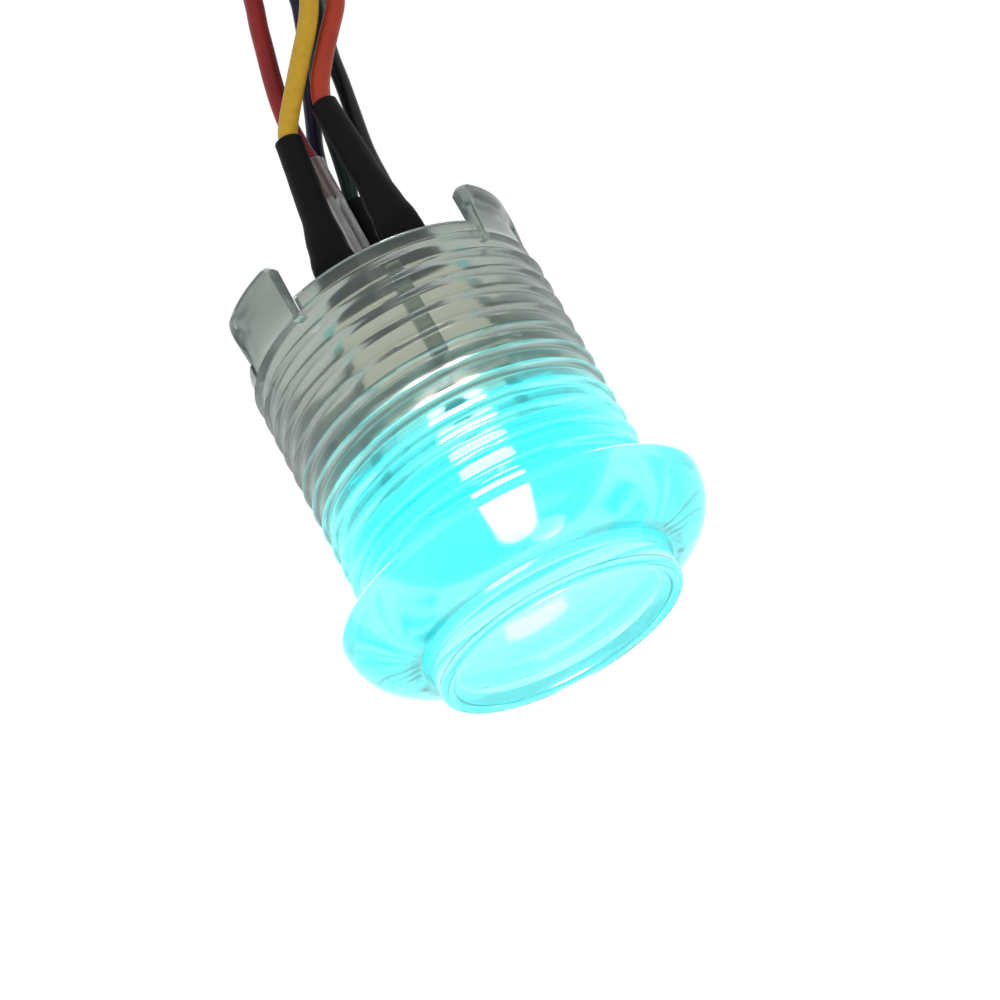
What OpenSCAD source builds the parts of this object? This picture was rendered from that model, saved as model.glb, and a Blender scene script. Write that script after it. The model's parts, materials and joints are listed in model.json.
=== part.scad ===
// Clear screw-in arcade push button, lit from inside by a three-colour lamp.
// The panel lies on z = 0, the finger presses down from +Z and the leads hang below.

/* [Panel and bezel] */
// Diameter of the hole in the panel
hole_d = 28; // [27.6:0.1:30]
// Clearance between the hole and the thread crests, on the diameter
hole_gap = 0.2; // [0.1:0.05:0.6]
// Diameter of the bezel
bezel_d = 33.8; // [33:0.1:38]
// Height of the bezel above the panel
bezel_h = 5.1; // [4:0.1:6]
// Radius of the quarter round that makes the bezel's dome
dome_r = 4.9; // [3:0.1:5]

/* [Barrel] */
// Length of the barrel behind the panel, up to its rear rim
barrel_l = 26.7; // [26:0.1:34]
// Thickness of the barrel's wall under the thread
barrel_wall = 1.15; // [1:0.05:2]
// Pitch of the thread
thread_pitch = 2; // [1.5:0.05:3]
// Depth of the thread
thread_depth = 0.5; // [0.3:0.05:0.6]
// Length of the plain land under the bezel, which fills the panel's hole
land_l = 1.4; // [1:0.1:3]
// Width of a thread crest
crest_w = 0.5; // [0.3:0.05:0.8]
// Height of the ears behind the rear rim
ear_h = 4.1; // [2:0.1:8]
// Angle that one ear takes up
ear_span = 35; // [20:1:60]
// Turn of the first ear round the barrel
ear_turn = 78.5; // [0:0.5:120]
// Depth of the slit on each side of an ear
slit_l = 2.3; // [0.5:0.1:4]
// Width of that slit
slit_w = 0.8; // [0.4:0.1:1.5]
// Width of a rib on the barrel's inner wall
rib_w = 1.3; // [0.8:0.1:3]
// Height of a rib above the inner wall
rib_h = 1.2; // [0.8:0.1:2]
// Distance from the ribs' rear ends to the rear rim
rib_inset = 2.2; // [0.5:0.1:5]

/* [Plunger] */
// Clearance between the plunger and the bezel's neck, on the radius
plunger_gap = 0.25; // [0.1:0.05:0.4]
// Height of the plunger's rim above the panel at rest
plunger_top = 8.1; // [7:0.1:12]
// Depth of the finger dish at its centre
dish_depth = 1; // [0.4:0.1:1.5]
// Width of the rim round the dish
rim_w = 1.2; // [0.8:0.1:3]
// Wall of the plunger's skirt
skirt_wall = 1.3; // [0.8:0.1:2]
// Thickness of the plunger's top under the dish
top_wall = 1.6; // [1:0.1:3]
// Depth of the lip that keeps the plunger in, below the panel
lip_z = 5.4; // [4.5:0.1:6]
// Height of that lip
lip_h = 1.5; // [0.8:0.1:2]
// Overhang of that lip behind the neck
lip_step = 0.4; // [0.3:0.05:0.6]
// Travel of the plunger
travel = 1.5; // [0.8:0.1:2]
// Thickness of the bar that presses the switch
bar_t = 1.2; // [0.8:0.1:1.6]

/* [Carrier and lamp] */
// Depth of the carrier's front face below the panel
carrier_z = 13.6; // [13.2:0.1:14.5]
// Thickness of the carrier's disc
carrier_t = 1.6; // [1:0.1:2]
// Clearance between the carrier and the barrel's bore, on the radius
carrier_gap = 0.25; // [0.1:0.05:0.4]
// Diameter of the lamp's dome
lamp_d = 5; // [3:0.1:5.4]
// Height of the lamp
lamp_h = 8.6; // [5:0.1:9.5]
// Thickness of a lamp lead
lead_d = 0.5; // [0.4:0.05:0.6]
// Distance between neighbouring lamp leads
lead_pitch = 1.27; // [1.2:0.01:1.4]

/* [Switch] */
// Width of the switch's case
switch_w = 11.6; // [11:0.1:12.4]
// Height of the case
switch_h = 9.2; // [9:0.1:9.8]
// Thickness of the case with its cover
switch_t = 6; // [5:0.1:6.4]
// Thickness of the cover
cover_t = 1; // [0.6:0.1:1.2]
// Wall of the case
case_wall = 0.9; // [0.6:0.1:1.2]
// Diameter of the switch's button
button_d = 1.8; // [1.2:0.1:2.4]
// Width of a terminal tab
tab_w = 2.8; // [2:0.1:3]
// Thickness of a terminal tab
tab_t = 0.5; // [0.3:0.05:0.8]
// Length of a terminal tab behind the case
tab_l = 6.6; // [5:0.1:6.8]

/* [Leads] */
// Diameter of the two switch wires and the red lamp wire
thick_wire_d = 1.8; // [1.4:0.1:2]
// Diameter of the other lamp wires
thin_wire_d = 1.5; // [1:0.1:1.6]
// Wall of the shrunk sleeves
sleeve_wall = 0.3; // [0.2:0.05:0.4]
// Pitch of the ways in the two plugs
plug_pitch = 2.5; // [2.3:0.1:2.6]
// Length of a plug
plug_l = 11.5; // [9:0.1:16]
// Thickness of a plug
plug_t = 5.8; // [4:0.1:6]

/* [Hidden] */

// A tiny overlap that keeps cuts and joins clean
eps = 0.01;
// Clearance between still pieces that slide into each other once
fit_gap = 0.05;
round_fn = 96;
small_fn = 32;

// Barrel radii
crest_r = (hole_d - hole_gap) / 2;
root_r = crest_r - thread_depth;
bore_r = root_r - barrel_wall;
lip_r = bore_r - plunger_gap;
neck_r = lip_r - lip_step;
plunger_r = neck_r - plunger_gap;
bezel_r = bezel_d / 2;
back_edge = 0.3;
neck_round = 0.35;
rim_to_thread = 1.7;
thread_turns = floor((barrel_l - rim_to_thread - land_l - 0.8) / thread_pitch) + 1;
ear_r = root_r + thread_depth * 0.8;
ear_bead_h = 1.4;
ear_count = 3;

// Levels along the axis
carrier_back = -carrier_z - carrier_t;
rib_back = -barrel_l + rib_inset;
skirt_back = -lip_z - lip_h;
bar_clear = 0.05;
bar_back = -carrier_z + travel + bar_clear;

// Plunger outline
rim_round = 0.5;
dish_edge = 0.3;
skirt_inner_r = plunger_r - skirt_wall;
dish_r = plunger_r - rim_w;
cap_under = plunger_top - dish_depth - top_wall;

// Switch and lamp places
switch_x = -1.4;
switch_y = -4;
lamp_y = 1.6;
lamp_flange_r = lamp_d / 2 + 0.4;
lamp_flange_h = 1;
case_front = carrier_back;
case_back = case_front - switch_h;
cover_y = switch_y - switch_t / 2;
case_floor = 1.4;
case_roof = 1;
cavity_back = case_back + case_floor;
cavity_front = case_front - case_roof;
cavity_w = switch_w - 2 * case_wall;
rear_wall = 0.8;
button_foot = cavity_front - 1.8;
button_shoulder_d = button_d + 1.2;
shoulder_h = 0.8;
button_gap = 0.1;
blade_t = 0.2;
blade_w = 2.6;
tab_x = 3.3;
contact_r = 0.7;
contact_h = 0.5;
fixed_contact_h = 0.4;
// Tilt of the blade at full travel, from its pivot and the button's round foot
pivot_x = 4;
foot_r = button_d / 2;
blade_tilt = asin(foot_r / norm([pivot_x, foot_r - travel])) + atan((travel - foot_r) / pivot_x) + 0.5;
blade_level = button_foot - blade_t;
contact_drop = (pivot_x + tab_x + contact_r) * sin(blade_tilt) + contact_h * cos(blade_tilt);
fixed_top = blade_level - contact_drop - 0.02;

// Arms that clasp the switch, and the fork that guides the bar
arm_t = 1;
arm_w = 4;
arm_hook = 0.5;
arm_gap = 0.1;
fork_x = 6.5;
fork_t = 1;
fork_h = 4.4;
fork_gap = 0.15;

// Receptacles and sleeves
receptacle_wall = 0.25;
receptacle_l = 6.2;
receptacle_start = case_back - 1;
receptacle_back = receptacle_start - receptacle_l;
crimp_d = thick_wire_d + 0.1;
crimp_l = 4.5;
sleeve_start = case_back - 0.6;
joint_d = 0.9;

// Directions that the sleeves' tails take, as points on their centrelines
yellow_tail = [[switch_x + tab_x, switch_y, receptacle_back], [0.2, -3.7, -45]];
orange_tail = [[switch_x - tab_x, switch_y, receptacle_back], [-4.2, -3.2, -46.9]];
red_tail = [[-0.5, 1.5, -19], [-0.6, 0.3, -44.3]];
blue_tail = [[1.7, 3.3, -19], [0.2, 3.5, -38]];
green_tail = [[-2, 3.6, -19], [-2.2, 2.8, -40]];
black_tail = [[-4.2, 2.5, -19], [-5.5, 2.6, -37.5]];

// Lengths of insulation inside the sleeves' mouths
insulation_in = 4;
leads_end_share = 0.55;

// Routes of the wires from the sleeves' mouths to the plugs
plug_front = -118;
plug_x = -4.5;
lamp_plug_y = 1.5;
switch_plug_y = -5.5;
plug_grip = 3;
yellow_route = [
    [-0.6, -3.8, -46.7], [-1.8, -3.8, -48.5], [-3.3, -3.8, -50.6], [-4.8, -3.9, -52.6], [-6.3, -4, -54.6],
    [-7.6, -4.1, -56.8], [-8.6, -4.3, -59.6], [-9.2, -4.7, -63.5], [-9.2, -5.1, -69], [-8.6, -5.4, -77],
    [-7.4, -5.5, -87], [-5.6, -5.5, -99], [-4.1, -5.5, -109],
];
orange_route = [
    [-4.5, -3.1, -48.4], [-5.2, -3, -49.9], [-6.6, -2.8, -52.1], [-8.2, -2.6, -54.3], [-9.7, -2.5, -56.4],
    [-10.7, -2.5, -59], [-11.4, -2.6, -62.5], [-11.6, -2.9, -67.5], [-11.3, -3.4, -75],
    [-10.3, -4.2, -85], [-8.6, -5.1, -97], [-6.9, -5.5, -109],
];
red_route = [
    [-0.5, 0.2, -46.1], [-0.5, 0, -48.8], [-0.8, -0.1, -51.5], [-1.3, -0.2, -54.2], [-1.9, -0.2, -56.9],
    [-2.5, -0.1, -59.7], [-3.2, 0, -62.4], [-3.8, 0.2, -66], [-4.1, 0.5, -71], [-3.9, 0.9, -78],
    [-3.1, 1.3, -88], [-2, 1.5, -100], [-1.1, 1.5, -110],
];
blue_route = [
    [-0.1, 3.4, -40.1], [-0.7, 3.2, -43.1], [-1.6, 3, -46.9], [-2.5, 2.8, -49.2], [-3.4, 2.6, -51.6],
    [-4.3, 2.3, -53.9], [-5.3, 2, -56.2], [-6.2, 1.8, -58.8], [-7, 1.7, -62], [-7.3, 1.6, -67],
    [-7, 1.5, -75], [-6, 1.5, -86], [-4.7, 1.5, -98], [-3.7, 1.5, -109],
];
green_route = [
    [-2.7, 2.4, -41.9], [-3.3, 1.6, -44.8], [-3.7, 0.9, -47.2], [-4.2, 0.3, -49.5], [-5, -0.1, -51.9],
    [-6.1, -0.4, -54.1], [-7.4, -0.5, -56.5], [-8.3, -0.5, -59], [-8.8, -0.4, -63], [-9, 0, -69],
    [-8.7, 0.5, -77], [-7.9, 1, -87], [-6.9, 1.4, -98], [-6.1, 1.5, -109],
];
black_route = [
    [-5.6, 2.6, -39.8], [-5.7, 2.6, -44], [-6.3, 2.6, -48.4], [-6.8, 2.7, -51.9], [-7.2, 2.8, -55.2],
    [-7.9, 3.2, -58.2], [-8.6, 3.4, -61.4], [-9.5, 3.2, -66], [-10.2, 2.9, -72], [-10.4, 2.5, -80],
    [-10, 2, -90], [-9.2, 1.6, -101], [-8.6, 1.5, -110],
];
wire_sides = 8;

// Points along a straight line and round an arc
function along(p, q, t) = p + (q - p) * t;
function reach(p, q, d) = p + (q - p) * (d / norm(q - p));
function arc(cx, cy, r, from, to, steps) =
    [for (i = [0:steps]) [cx + r * cos(from + (to - from) * i / steps), cy + r * sin(from + (to - from) * i / steps)]];

// A round rod between two points
module rod(p, q, d, sides = small_fn) {
    v = q - p;
    translate(p)
        rotate([0, acos(v[2] / norm(v)), atan2(v[1], v[0])])
            cylinder(h = norm(v), d = d, $fn = sides);
}

// One tube swept along a list of points, closed at both ends
function way(pts, i) =
    let (a = pts[max(i - 1, 0)], b = pts[min(i + 1, len(pts) - 1)]) (b - a) / norm(b - a);
function ring_point(p, v, r, angle) =
    let (u0 = cross([0, 1, 0], v), u = u0 / norm(u0), w = cross(v, u)) p + r * (cos(angle) * u + sin(angle) * w);
module tube(pts, d) {
    n = len(pts);
    s = wire_sides;
    ring_pts = [for (i = [0:n - 1]) for (k = [0:s - 1]) ring_point(pts[i], way(pts, i), d / 2, 360 * k / s)];
    sides = [
        for (i = [0:n - 2]) for (k = [0:s - 1])
            [i * s + k, i * s + (k + 1) % s, (i + 1) * s + (k + 1) % s, (i + 1) * s + k]
    ];
    near_end = [for (k = [s - 1:-1:0]) k];
    far_end = [for (k = [0:s - 1]) (n - 1) * s + k];
    polyhedron(points = ring_pts, faces = concat([near_end], sides, [far_end]), convexity = 4);
}

// A wire starts inside its sleeve and ends inside its plug
function wire_points(tail, route, way_x, way_y) = concat(
    [reach(tail[1], tail[0], insulation_in), tail[1]],
    route,
    [[way_x, way_y, plug_front + 1], [way_x, way_y, plug_front - plug_grip + fit_gap]]
);
function way_of(i, ways) = plug_x + (i - (ways - 1) / 2) * plug_pitch;

// Barrel: bezel, thread, ears and inner ribs in one clear moulding
module thread_outline() {
    slope = (thread_pitch - crest_w) * 0.3;
    for (i = [0:thread_turns - 1])
        let (z = -barrel_l + rim_to_thread + i * thread_pitch)
            polygon([
                [root_r - 0.2, z + crest_w / 2 + slope], [root_r, z + crest_w / 2 + slope],
                [crest_r, z + crest_w / 2], [crest_r, z - crest_w / 2],
                [root_r, z - crest_w / 2 - slope], [root_r - 0.2, z - crest_w / 2 - slope],
            ]);
}
module bezel_outline() {
    flat_r = bezel_r - dome_r;
    polygon(concat(
        [[neck_r, -lip_z], [neck_r, bezel_h - neck_round]],
        arc(neck_r + neck_round, bezel_h - neck_round, neck_round, 180, 90, 6),
        arc(flat_r, bezel_h - dome_r, dome_r, 90, 0, 24),
        [
            [bezel_r, back_edge], [bezel_r - back_edge, 0], [crest_r, 0], [crest_r, -land_l],
            [root_r, -land_l - thread_depth], [root_r, -lip_z],
        ]
    ));
}
module tube_outline() {
    polygon([
        [bore_r, -lip_z + eps], [root_r, -lip_z + eps], [root_r, -barrel_l + 0.3],
        [root_r - 0.3, -barrel_l], [bore_r, -barrel_l],
    ]);
}
module ear_outline() {
    tip = -barrel_l - ear_h;
    foot = -barrel_l + 1;
    polygon([
        [bore_r, foot], [root_r, foot], [root_r, tip + 2 * ear_bead_h], [ear_r, tip + ear_bead_h],
        [ear_r, tip + 0.5], [ear_r - 0.5, tip], [bore_r + 0.2, tip], [bore_r, tip + 0.2],
    ]);
}
module slits() {
    slit_angle = ear_span / 2 + atan(slit_w / 2 / root_r);
    for (side = [-1, 1])
        rotate([0, 0, side * slit_angle])
            translate([bore_r - 1, -slit_w / 2, -barrel_l - 1])
                cube([crest_r - bore_r + 2, slit_w, slit_l + 1]);
}
module barrel() {
    color([0.75, 0.95, 0.95, 0.45])
        difference() {
            union() {
                rotate_extrude($fn = round_fn) bezel_outline();
                rotate_extrude($fn = round_fn) tube_outline();
                rotate_extrude($fn = round_fn) thread_outline();
                for (k = [0:ear_count - 1])
                    rotate([0, 0, ear_turn - ear_span / 2 + k * 360 / ear_count])
                        rotate_extrude(angle = ear_span, $fn = round_fn) ear_outline();
                for (k = [0:ear_count - 1])
                    rotate([0, 0, ear_turn + (k + 0.5) * 360 / ear_count])
                        translate([bore_r - rib_h, -rib_w / 2, rib_back])
                            cube([rib_h + 0.5, rib_w, carrier_back - rib_back]);
            }
            for (k = [0:ear_count - 1])
                rotate([0, 0, ear_turn + k * 360 / ear_count]) slits();
        }
}

// Plunger: dished top, guiding skirt with its lip, and the bar that works the switch
module plunger_outline() {
    land_r = dish_r + (plunger_r - rim_round - dish_r) / 2;
    dish_sag = dish_depth - dish_edge;
    ball_r = (dish_r * dish_r + dish_sag * dish_sag) / (2 * dish_sag);
    ball_z = plunger_top - dish_edge - dish_sag + ball_r;
    dish_angle = asin(dish_r / ball_r);
    polygon(concat(
        [[0, cap_under]],
        arc(0, ball_z, ball_r, 270, 270 + dish_angle, 16),
        [[land_r, plunger_top]],
        arc(plunger_r - rim_round, plunger_top - rim_round, rim_round, 90, 0, 8),
        [
            [plunger_r, -lip_z], [lip_r, -lip_z], [lip_r, skirt_back + 0.4], [lip_r - 0.4, skirt_back],
            [skirt_inner_r, skirt_back], [skirt_inner_r, cap_under - 0.6], [skirt_inner_r - 0.6, cap_under],
        ]
    ));
}
module plunger() {
    bar_reach = sqrt(pow(skirt_inner_r + skirt_wall / 2, 2) - pow(abs(switch_y) + bar_t / 2, 2));
    color([0.6, 1, 1, 0.5])
        union() {
            rotate_extrude($fn = round_fn) plunger_outline();
            translate([-bar_reach, switch_y - bar_t / 2, bar_back])
                cube([2 * bar_reach, bar_t, skirt_back + 3 - bar_back]);
        }
}

// Carrier: notched disc that twists in onto the ribs, arms for the switch and a fork for the bar
module carrier() {
    disc_r = bore_r - carrier_gap;
    notch = rib_w + 2 * carrier_gap;
    color([0.8, 0.85, 0.85, 0.6])
        difference() {
            union() {
                translate([0, 0, carrier_back]) cylinder(h = carrier_t, r = disc_r, $fn = round_fn);
                for (side = [-1, 1]) arm(side);
                for (x = [-1, 1], y = [-1, 1]) fork_post(x, y);
            }
            for (k = [0:ear_count - 1])
                rotate([0, 0, ear_turn + k * 360 / ear_count])
                    translate([disc_r - rib_h - carrier_gap, -notch / 2, carrier_back - 1])
                        cube([rib_h + 1, notch, carrier_t + 2]);
            translate([switch_x, switch_y, carrier_back - 1])
                cylinder(h = carrier_t + 2, d = button_d + 2 * button_gap + 0.4, $fn = small_fn);
            for (i = [0:3])
                translate([lead_x(i), lamp_y, carrier_back - 1])
                    cylinder(h = carrier_t + 2, d = lead_d + 2 * fit_gap, $fn = small_fn);
        }
}
module arm(side) {
    arm_x = switch_w / 2 + arm_gap;
    hook_z = case_back - fit_gap;
    translate([switch_x, switch_y, 0])
        mirror([side < 0 ? 1 : 0, 0, 0]) {
            translate([arm_x, -arm_w / 2, hook_z - 1]) cube([arm_t, arm_w, carrier_back + 0.5 - hook_z + 1]);
            translate([arm_x - arm_hook, -arm_w / 2, hook_z - 1]) cube([arm_hook + eps, arm_w, 1]);
        }
}
module fork_post(x_side, y_side) {
    y = switch_y + y_side * (bar_t / 2 + fork_gap + fork_t / 2);
    translate([x_side * fork_x - fork_t / 2, y - fork_t / 2, -carrier_z - 0.5]) cube([fork_t, fork_t, fork_h + 0.5]);
}

// Lamp: a domed lens on four leads
function lead_x(i) = switch_x + (i - 1.5) * lead_pitch;
lead_top = -carrier_z + 2.6;
module lead_rods(d) {
    tails = [black_tail, green_tail, red_tail, blue_tail];
    for (i = [0:3]) {
        knee = [lead_x(i), lamp_y, carrier_back - 0.6];
        end = along(tails[i][0], tails[i][1], leads_end_share);
        rod([lead_x(i), lamp_y, lead_top], knee, d);
        translate(knee) sphere(d = d * 1.3, $fn = small_fn);
        rod(knee, tails[i][0], d);
        translate(tails[i][0]) sphere(d = d * 1.3, $fn = small_fn);
        rod(tails[i][0], end, d);
    }
}
module lamp_leads() {
    color("silver")
        union() {
            lead_rods(lead_d);
            translate([lead_x(2) - 0.6, lamp_y - lead_d / 2, lead_top - 0.6]) cube([1.2, lead_d, 1]);
        }
}
module lamp_lens() {
    straight = lamp_h - lamp_d / 2;
    color([0.85, 1, 1, 0.6])
        difference() {
            translate([switch_x, lamp_y, -carrier_z])
                union() {
                    cylinder(h = lamp_flange_h, r = lamp_flange_r, $fn = round_fn);
                    cylinder(h = straight, d = lamp_d, $fn = round_fn);
                    translate([0, 0, straight]) sphere(d = lamp_d, $fn = round_fn);
                }
            for (i = [0:3])
                rod([lead_x(i), lamp_y, lead_top + fit_gap], [lead_x(i), lamp_y, -carrier_z - 1], lead_d + fit_gap);
            translate([lead_x(2) - 0.65, lamp_y - lead_d / 2 - fit_gap, lead_top - 0.65])
                cube([1.3, lead_d + 2 * fit_gap, 1.1]);
        }
}
module solder_joints() {
    tails = [black_tail, green_tail, red_tail, blue_tail];
    color("gainsboro")
        for (t = tails) rod(along(t[0], t[1], leads_end_share), reach(t[1], t[0], insulation_in), joint_d);
}

// Switch: case and cover, button, snap blade and the two terminals
module switch_case() {
    depth = switch_t - cover_t;
    color("wheat")
        translate([switch_x, 0, 0])
            difference() {
                translate([-switch_w / 2, cover_y + cover_t, case_back]) cube([switch_w, depth, switch_h]);
                translate([-cavity_w / 2, cover_y + cover_t - 1, cavity_back])
                    cube([cavity_w, depth + 1 - rear_wall, cavity_front - cavity_back]);
                translate([0, switch_y, cavity_front - 1])
                    cylinder(h = case_roof + 2, d = button_d + 2 * button_gap, $fn = small_fn);
                for (side = [-1, 1])
                    translate([side * tab_x - tab_w / 2 - fit_gap, switch_y - tab_t / 2 - fit_gap, case_back - 1])
                        cube([tab_w + 2 * fit_gap, tab_t + 2 * fit_gap, case_floor + 2]);
            }
}
module switch_cover() {
    plug_in = 0.4;
    color("cornsilk")
        translate([switch_x, 0, 0])
            union() {
                translate([-switch_w / 2, cover_y, case_back]) cube([switch_w, cover_t, switch_h]);
                translate([-cavity_w / 2 + fit_gap, cover_y + cover_t - eps, cavity_back + fit_gap])
                    cube([cavity_w - 2 * fit_gap, plug_in, cavity_front - cavity_back - 2 * fit_gap]);
            }
}
module switch_button() {
    shoulder_top = cavity_front - fit_gap;
    color("tomato")
        translate([switch_x, switch_y, 0])
            rotate_extrude($fn = round_fn)
                polygon(concat(
                    arc(0, button_foot + foot_r, foot_r, -90, -10, 10),
                    [
                        [foot_r, button_foot + foot_r], [button_shoulder_d / 2, shoulder_top - shoulder_h],
                        [button_shoulder_d / 2, shoulder_top], [foot_r, shoulder_top], [foot_r, bar_back],
                        [0, bar_back],
                    ]
                ));
}
module snap_blade() {
    far_x = -tab_x - 1;
    near_x = tab_x + tab_w / 2 - 0.2;
    color("goldenrod")
        translate([switch_x, switch_y, blade_level])
            union() {
                translate([far_x, -blade_w / 2, 0]) cube([near_x - far_x, blade_w, blade_t]);
                translate([-tab_x, 0, -contact_h]) cylinder(h = contact_h + eps, r = contact_r, $fn = small_fn);
            }
}
module tab(x, top) {
    translate([switch_x + x - tab_w / 2, switch_y - tab_t / 2, case_back - tab_l])
        cube([tab_w, tab_t, top - case_back + tab_l]);
}
module common_terminal() {
    post_w = tab_x + tab_w / 2 - pivot_x;
    color("silver")
        union() {
            tab(tab_x, cavity_back + 0.8);
            translate([switch_x + pivot_x, switch_y - tab_t / 2, cavity_back])
                cube([post_w, tab_t, blade_level - cavity_back]);
            translate([switch_x + pivot_x, switch_y - blade_w / 2, blade_level - 0.4])
                cube([post_w, blade_w, 0.4]);
        }
}
module open_terminal() {
    shelf_top = fixed_top - fixed_contact_h;
    color("silver")
        union() {
            tab(-tab_x, shelf_top);
            translate([switch_x - tab_x - 1, switch_y - blade_w / 2, shelf_top - 0.3]) cube([2, blade_w, 0.3]);
            translate([switch_x - tab_x, switch_y, shelf_top - eps])
                cylinder(h = fixed_contact_h + eps, r = contact_r, $fn = small_fn);
        }
}

// Crimped receptacles on the tabs
module receptacle(tail) {
    slot = [tab_w + 2 * fit_gap, tab_t + 2 * fit_gap];
    outer = [slot[0] + 2 * receptacle_wall, slot[1] + 2 * receptacle_wall];
    color("gold")
        difference() {
            union() {
                translate([tail[0][0] - outer[0] / 2, tail[0][1] - outer[1] / 2, receptacle_back])
                    cube([outer[0], outer[1], receptacle_l]);
                rod(tail[0], reach(tail[0], tail[1], crimp_l), crimp_d);
            }
            translate([tail[0][0] - slot[0] / 2, tail[0][1] - slot[1] / 2, receptacle_back + 0.3])
                cube([slot[0], slot[1], receptacle_l + 1]);
        }
}

// Shrunk sleeves: flat over a receptacle and round over its wire, or round all along
module flat_sleeve(tail, shade) {
    slot = [tab_w + 2 * fit_gap + 2 * receptacle_wall + 2 * fit_gap, tab_t + 4 * fit_gap + 2 * receptacle_wall];
    outer = [slot[0] + 2 * sleeve_wall, slot[1] + 2 * sleeve_wall];
    tail_d = crimp_d + 2 * fit_gap + 2 * sleeve_wall;
    neck = reach(tail[0], tail[1], crimp_l);
    color(shade)
        difference() {
            union() {
                hull() {
                    flat_bar(tail[0], outer, receptacle_back - 0.5, sleeve_start);
                    rod(reach(tail[0], tail[1], -0.4), reach(neck, tail[1], 0.5), tail_d + 0.12, 24);
                }
                rod(neck, tail[1], tail_d);
            }
            flat_bar(tail[0], slot, receptacle_back - fit_gap, sleeve_start + 1);
            rod(reach(tail[0], tail[1], -fit_gap), reach(tail[1], tail[0], -1), crimp_d + 2 * fit_gap);
        }
}
module flat_bar(p, size, back, front) {
    translate([p[0] - size[0] / 2, p[1] - size[1] / 2, back]) cube([size[0], size[1], front - back]);
}
module round_sleeve(tail, wire_d, shade) {
    color(shade)
        difference() {
            rod(tail[0], tail[1], wire_d + 2 * fit_gap + 2 * sleeve_wall);
            rod(reach(tail[0], tail[1], -1), reach(tail[1], tail[0], -1), wire_d + 2 * fit_gap);
        }
}

// Plugs: a moulded housing with a cavity for each contact
module plug(ways, y, wire_d) {
    width = (ways - 1) * plug_pitch + 4.9;
    back = plug_front - plug_l;
    cavity = 1.8;
    color("whitesmoke")
        difference() {
            union() {
                translate([plug_x - width / 2, y - plug_t / 2, back]) cube([width, plug_t, plug_l]);
                for (side = [-1, 1])
                    translate([plug_x + side * (width / 2 - 1.2) - 0.4, y - plug_t / 2 - 0.5, back])
                        cube([0.8, 1, plug_l * 0.6]);
            }
            for (i = [0:ways - 1])
                translate([way_of(i, ways), y, 0]) {
                    translate([0, 0, plug_front - plug_grip])
                        cylinder(h = plug_grip + 1, d = wire_d + 2 * fit_gap, $fn = small_fn);
                    translate([-cavity / 2, -cavity / 2, back - 1]) cube([cavity, cavity, plug_l - plug_grip + 1 + eps]);
                }
        }
}
module contacts(ways, y) {
    size = 1.6;
    slot = 0.9;
    color("gold")
        for (i = [0:ways - 1])
            translate([way_of(i, ways), y, plug_front - plug_l + 0.8])
                difference() {
                    translate([-size / 2, -size / 2, 0]) cube([size, size, plug_l - plug_grip - 0.9]);
                    translate([-slot / 2, -slot / 2, -1]) cube([slot, slot, 4]);
                }
}

barrel();
plunger();
carrier();
lamp_lens();
lamp_leads();
solder_joints();
switch_case();
switch_cover();
switch_button();
snap_blade();
common_terminal();
open_terminal();
receptacle(yellow_tail);  // common_receptacle
receptacle(orange_tail);  // open_receptacle
flat_sleeve(yellow_tail, "#151515");  // yellow_sleeve
flat_sleeve(orange_tail, "#151515");  // orange_sleeve
round_sleeve(red_tail, thick_wire_d, [0.8, 0.8, 0.8, 0.5]);  // red_sleeve
round_sleeve(blue_tail, thin_wire_d, [0.8, 0.8, 0.8, 0.5]);  // blue_sleeve
round_sleeve(green_tail, thin_wire_d, "#151515");  // green_sleeve
round_sleeve(black_tail, thin_wire_d, "#151515");  // black_sleeve
color("#d8b430") tube(wire_points(yellow_tail, yellow_route, way_of(1, 2), switch_plug_y), thick_wire_d);  // yellow_wire
color("#c04028") tube(wire_points(orange_tail, orange_route, way_of(0, 2), switch_plug_y), thick_wire_d);  // orange_wire
color("#a82020") tube(wire_points(red_tail, red_route, way_of(3, 4), lamp_plug_y), thick_wire_d);  // red_wire
color("#241a48") tube(wire_points(blue_tail, blue_route, way_of(2, 4), lamp_plug_y), thin_wire_d);  // blue_wire
color("#0e3828") tube(wire_points(green_tail, green_route, way_of(1, 4), lamp_plug_y), thin_wire_d);  // green_wire
color("#101010") tube(wire_points(black_tail, black_route, way_of(0, 4), lamp_plug_y), thin_wire_d);  // black_wire
plug(4, lamp_plug_y, thick_wire_d);  // lamp_plug
plug(2, switch_plug_y, thick_wire_d);  // switch_plug
contacts(4, lamp_plug_y);  // lamp_contacts
contacts(2, switch_plug_y);  // switch_contacts
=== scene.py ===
# %% [markdown]
# # A clear arcade button, lit from inside
# The real object is a screw-in push button moulded in clear plastic. A lamp glows behind
# its plunger, and six leads leave the open rear of its barrel. The solids come from the
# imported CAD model. This script dresses them: it gives each visible piece a finer mesh
# where the light will show it, and each surface a finish made of shader nodes.

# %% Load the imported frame
import json
import math

import bmesh
import bpy
from mathutils import Matrix, Vector, noise

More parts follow.
